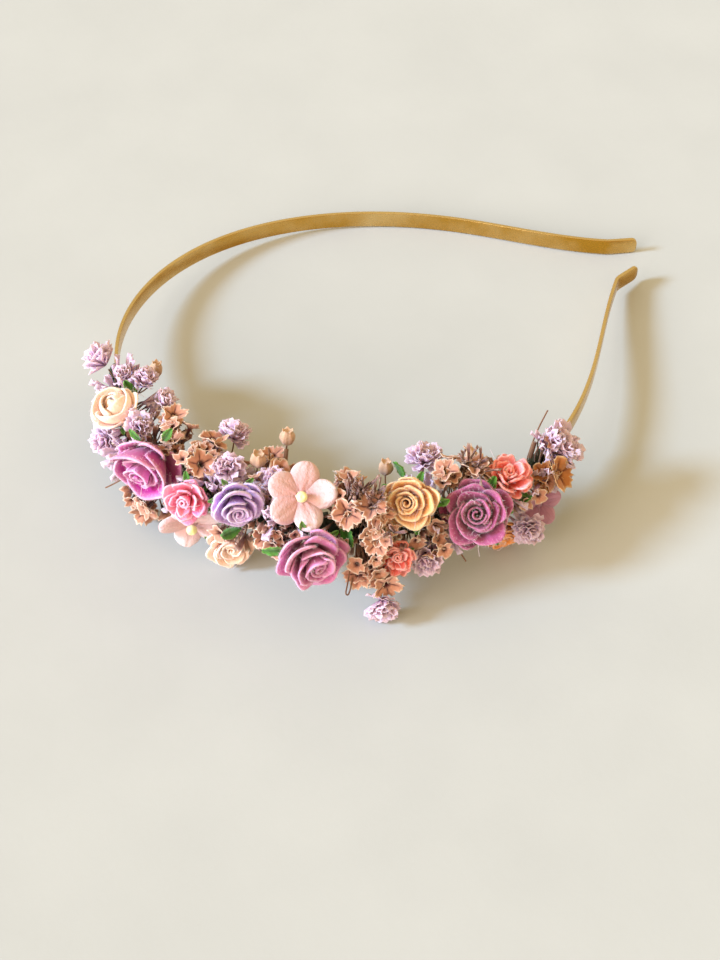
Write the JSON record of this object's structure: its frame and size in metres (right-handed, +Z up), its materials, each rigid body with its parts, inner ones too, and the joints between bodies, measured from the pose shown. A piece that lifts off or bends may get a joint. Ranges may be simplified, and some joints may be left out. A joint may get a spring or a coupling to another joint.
{
  "type": "flower headband",
  "caption": "Slim metal hair band in an open loop, with paper roses, blossoms, dried flowers and leaves bound along one arm with florist tape.",
  "frame": {"origin": "on the table, below the middle of the object's box, as the headband lies on its edges", "axes": "+Z up from the table; +X along the loop from its crown to its open ends; the flowered arm is at -Y and the bare arm at +Y"},
  "size_m": [0.175, 0.1396, 0.038],
  "materials": {
    "gold": "polished gold-coloured metal strip",
    "tape": "dark green crepe florist tape, matt",
    "plum": "matt plum paper, paler at the petal rims",
    "lavender": "matt lavender paper, pale rims",
    "peach": "matt peach paper, apricot in the heart",
    "ivory": "matt ivory paper with a peach blush",
    "pink": "matt hot-pink paper",
    "coral": "matt coral paper with an orange throat",
    "orange": "matt orange paper",
    "blush": "fibrous blush paper, slightly translucent",
    "mauve": "thin dusty-mauve paper, slightly translucent",
    "pearl": "pale yellow bead, satin",
    "lilac": "dried lilac petals, dry and matt, pale tips",
    "tan": "dried papery calyces, ribbed, with maroon veins",
    "beige": "dried seed heads, dull",
    "green": "green leaves with a paler midrib"
  },
  "bodies": {
    "root": {"band": "gold", "stem_binding": "tape", "rose_plum_left": "plum", "rose_plum_front": "plum", "rose_plum_right": "plum", "rose_lavender": "lavender", "rose_peach": "peach", "rose_ivory_bud": "ivory", "rose_ivory_low": "ivory", "rose_pink": "pink", "rose_coral_right": "coral", "rose_coral_low": "coral", "rose_orange_low": "orange", "blossom_blush_front": "blush", "bead_front": "pearl", "blossom_blush_low": "blush", "bead_low": "pearl", "blossom_mauve": "mauve", "gypsophila_1": "lilac", "gypsophila_2": "lilac", "gypsophila_3": "lilac", "gypsophila_4": "lilac", "gypsophila_5": "lilac", "gypsophila_6": "lilac", "gypsophila_7": "lilac", "gypsophila_8": "lilac", "gypsophila_9": "lilac", "gypsophila_10": "lilac", "gypsophila_11": "lilac", "gypsophila_12": "lilac", "gypsophila_13": "lilac", "gypsophila_14": "lilac", "calyx_1": "tan", "calyx_2": "tan", "calyx_3": "tan", "calyx_4": "tan", "calyx_5": "tan", "calyx_6": "tan", "calyx_7": "tan", "calyx_8": "tan", "calyx_9": "tan", "calyx_10": "tan", "calyx_11": "tan", "calyx_12": "tan", "calyx_13": "tan", "calyx_14": "tan", "calyx_15": "tan", "calyx_16": "tan", "seed_bud_1": "beige", "seed_bud_2": "beige", "seed_bud_3": "beige", "seed_bud_4": "beige", "seed_pod": "beige", "leaf_1": "green", "leaf_2": "green", "leaf_3": "green", "leaf_4": "green", "leaf_5": "green", "leaf_6": "green"}
  },
  "joints": []
}
